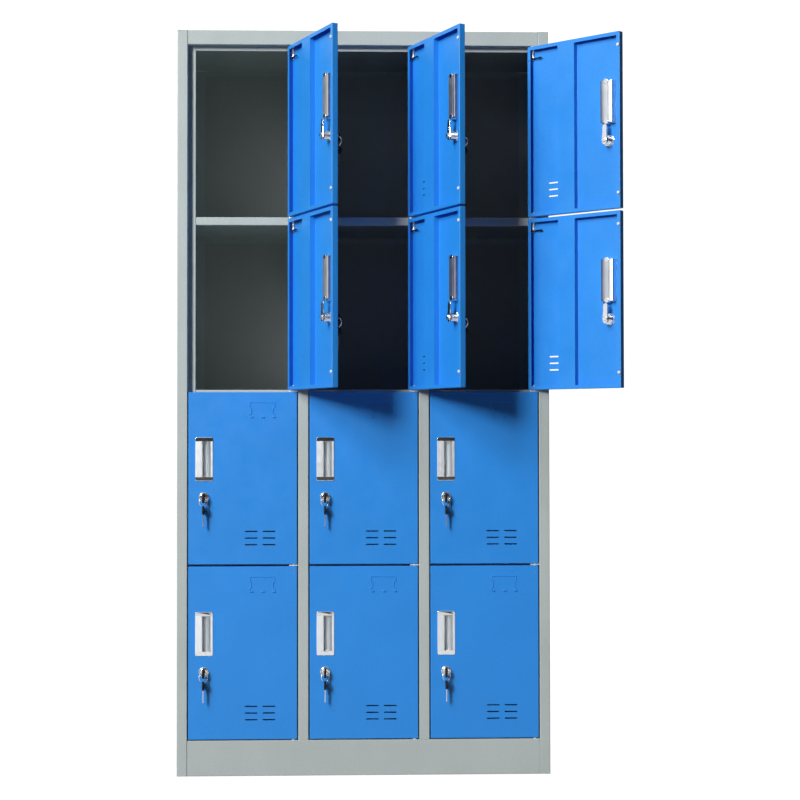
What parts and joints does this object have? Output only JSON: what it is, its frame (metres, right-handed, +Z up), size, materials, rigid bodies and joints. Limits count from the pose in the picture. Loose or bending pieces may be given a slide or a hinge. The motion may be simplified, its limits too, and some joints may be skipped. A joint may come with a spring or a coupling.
{
  "type": "compartment locker cabinet",
  "caption": "Free-standing steel locker cabinet with hinged doors in rows and columns, recessed finger pulls and keyed cam locks.",
  "frame": {"origin": "on the floor, at the middle of the underside of the plinth's floor flange; the cabinet's front face is 15 mm in front of it", "axes": "+X to the cabinet's right as seen from the front, +Y towards its back, +Z up"},
  "size_m": [1.0565, 0.6804, 1.8],
  "materials": {
    "carcass_grey": "light grey powder coat, satin",
    "door_blue": "blue powder coat, satin",
    "pull_aluminium": "brushed, chromed end caps",
    "lock_chrome": "polished chrome plate"
  },
  "bodies": {
    "carcass": {"left_side_panel": "carcass_grey", "right_side_panel": "carcass_grey", "partition_left": "carcass_grey", "partition_right": "carcass_grey", "top_panel": "carcass_grey", "base_plinth": "carcass_grey", "back_panel": "carcass_grey", "shelf_row1_col1": "carcass_grey", "shelf_row1_col2": "carcass_grey", "shelf_row1_col3": "carcass_grey", "shelf_row2_col1": "carcass_grey", "shelf_row2_col2": "carcass_grey", "shelf_row2_col3": "carcass_grey", "shelf_row3_col1": "carcass_grey", "shelf_row3_col2": "carcass_grey", "shelf_row3_col3": "carcass_grey"},
    "door_row1_col1": {"door_row1_col1": "door_blue", "pull_row1_col1": "pull_aluminium"},
    "lock_row1_col1": {"lock_row1_col1": "lock_chrome"},
    "door_row1_col2": {"door_row1_col2": "door_blue", "pull_row1_col2": "pull_aluminium"},
    "lock_row1_col2": {"lock_row1_col2": "lock_chrome"},
    "door_row1_col3": {"door_row1_col3": "door_blue", "pull_row1_col3": "pull_aluminium"},
    "lock_row1_col3": {"lock_row1_col3": "lock_chrome"},
    "door_row2_col1": {"door_row2_col1": "door_blue", "pull_row2_col1": "pull_aluminium"},
    "lock_row2_col1": {"lock_row2_col1": "lock_chrome"},
    "door_row2_col2": {"door_row2_col2": "door_blue", "pull_row2_col2": "pull_aluminium"},
    "lock_row2_col2": {"lock_row2_col2": "lock_chrome"},
    "door_row2_col3": {"door_row2_col3": "door_blue", "pull_row2_col3": "pull_aluminium"},
    "lock_row2_col3": {"lock_row2_col3": "lock_chrome"},
    "door_row3_col1": {"door_row3_col1": "door_blue", "pull_row3_col1": "pull_aluminium"},
    "lock_row3_col1": {"lock_row3_col1": "lock_chrome"},
    "door_row3_col2": {"door_row3_col2": "door_blue", "pull_row3_col2": "pull_aluminium"},
    "lock_row3_col2": {"lock_row3_col2": "lock_chrome"},
    "door_row3_col3": {"door_row3_col3": "door_blue", "pull_row3_col3": "pull_aluminium"},
    "lock_row3_col3": {"lock_row3_col3": "lock_chrome"},
    "door_row4_col1": {"door_row4_col1": "door_blue", "pull_row4_col1": "pull_aluminium"},
    "lock_row4_col1": {"lock_row4_col1": "lock_chrome"},
    "door_row4_col2": {"door_row4_col2": "door_blue", "pull_row4_col2": "pull_aluminium"},
    "lock_row4_col2": {"lock_row4_col2": "lock_chrome"},
    "door_row4_col3": {"door_row4_col3": "door_blue", "pull_row4_col3": "pull_aluminium"},
    "lock_row4_col3": {"lock_row4_col3": "lock_chrome"}
  },
  "joints": [
    {"name": "door_row1_col1_hinge", "type": "hinge", "parent": "carcass", "child": "door_row1_col1", "pos_m": [-0.16983, -0.0115, 1.555], "axis": [0, 0, 1], "range_deg": [-115, 25]},
    {"name": "lock_row1_col1_turn", "type": "hinge", "parent": "door_row1_col1", "child": "lock_row1_col1", "pos_m": [-0.07573, -0.20503, 1.5095], "axis": [0.9063, 0.4226, 0], "range_deg": [0, 90]},
    {"name": "door_row1_col2_hinge", "type": "hinge", "parent": "carcass", "child": "door_row1_col2", "pos_m": [0.12183, -0.0115, 1.555], "axis": [0, 0, 1], "range_deg": [-115, 25]},
    {"name": "lock_row1_col2_turn", "type": "hinge", "parent": "door_row1_col2", "child": "lock_row1_col2", "pos_m": [0.21594, -0.20503, 1.5095], "axis": [0.9063, 0.4226, 0], "range_deg": [0, 90]},
    {"name": "door_row1_col3_hinge", "type": "hinge", "parent": "carcass", "child": "door_row1_col3", "pos_m": [0.4135, -0.0115, 1.555], "axis": [0, 0, 1], "range_deg": [-139, 1]},
    {"name": "lock_row1_col3_turn", "type": "hinge", "parent": "door_row1_col3", "child": "lock_row1_col3", "pos_m": [0.57818, -0.15002, 1.5095], "axis": [0.6561, 0.7547, 0], "range_deg": [0, 90]},
    {"name": "door_row2_col1_hinge", "type": "hinge", "parent": "carcass", "child": "door_row2_col1", "pos_m": [-0.16983, -0.0115, 1.135], "axis": [0, 0, 1], "range_deg": [-115, 25]},
    {"name": "lock_row2_col1_turn", "type": "hinge", "parent": "door_row2_col1", "child": "lock_row2_col1", "pos_m": [-0.07573, -0.20503, 1.0895], "axis": [0.9063, 0.4226, 0], "range_deg": [0, 90]},
    {"name": "door_row2_col2_hinge", "type": "hinge", "parent": "carcass", "child": "door_row2_col2", "pos_m": [0.12183, -0.0115, 1.135], "axis": [0, 0, 1], "range_deg": [-115, 25]},
    {"name": "lock_row2_col2_turn", "type": "hinge", "parent": "door_row2_col2", "child": "lock_row2_col2", "pos_m": [0.21594, -0.20503, 1.0895], "axis": [0.9063, 0.4226, 0], "range_deg": [0, 90]},
    {"name": "door_row2_col3_hinge", "type": "hinge", "parent": "carcass", "child": "door_row2_col3", "pos_m": [0.4135, -0.0115, 1.135], "axis": [0, 0, 1], "range_deg": [-139, 1]},
    {"name": "lock_row2_col3_turn", "type": "hinge", "parent": "door_row2_col3", "child": "lock_row2_col3", "pos_m": [0.57818, -0.15002, 1.0895], "axis": [0.6561, 0.7547, 0], "range_deg": [0, 90]},
    {"name": "door_row3_col1_hinge", "type": "hinge", "parent": "carcass", "child": "door_row3_col1", "pos_m": [-0.16983, -0.0115, 0.715], "axis": [0, 0, 1], "range_deg": [0, 140]},
    {"name": "lock_row3_col1_turn", "type": "hinge", "parent": "door_row3_col1", "child": "lock_row3_col1", "pos_m": [-0.385, -0.015, 0.6695], "axis": [0, -1, 0], "range_deg": [0, 90]},
    {"name": "door_row3_col2_hinge", "type": "hinge", "parent": "carcass", "child": "door_row3_col2", "pos_m": [0.12183, -0.0115, 0.715], "axis": [0, 0, 1], "range_deg": [0, 140]},
    {"name": "lock_row3_col2_turn", "type": "hinge", "parent": "door_row3_col2", "child": "lock_row3_col2", "pos_m": [-0.09333, -0.015, 0.6695], "axis": [0, -1, 0], "range_deg": [0, 90]},
    {"name": "door_row3_col3_hinge", "type": "hinge", "parent": "carcass", "child": "door_row3_col3", "pos_m": [0.4135, -0.0115, 0.715], "axis": [0, 0, 1], "range_deg": [0, 140]},
    {"name": "lock_row3_col3_turn", "type": "hinge", "parent": "door_row3_col3", "child": "lock_row3_col3", "pos_m": [0.19833, -0.015, 0.6695], "axis": [0, -1, 0], "range_deg": [0, 90]},
    {"name": "door_row4_col1_hinge", "type": "hinge", "parent": "carcass", "child": "door_row4_col1", "pos_m": [-0.16983, -0.0115, 0.295], "axis": [0, 0, 1], "range_deg": [0, 140]},
    {"name": "lock_row4_col1_turn", "type": "hinge", "parent": "door_row4_col1", "child": "lock_row4_col1", "pos_m": [-0.385, -0.015, 0.2495], "axis": [0, -1, 0], "range_deg": [0, 90]},
    {"name": "door_row4_col2_hinge", "type": "hinge", "parent": "carcass", "child": "door_row4_col2", "pos_m": [0.12183, -0.0115, 0.295], "axis": [0, 0, 1], "range_deg": [0, 140]},
    {"name": "lock_row4_col2_turn", "type": "hinge", "parent": "door_row4_col2", "child": "lock_row4_col2", "pos_m": [-0.09333, -0.015, 0.2495], "axis": [0, -1, 0], "range_deg": [0, 90]},
    {"name": "door_row4_col3_hinge", "type": "hinge", "parent": "carcass", "child": "door_row4_col3", "pos_m": [0.4135, -0.0115, 0.295], "axis": [0, 0, 1], "range_deg": [0, 140]},
    {"name": "lock_row4_col3_turn", "type": "hinge", "parent": "door_row4_col3", "child": "lock_row4_col3", "pos_m": [0.19833, -0.015, 0.2495], "axis": [0, -1, 0], "range_deg": [0, 90]}
  ]
}
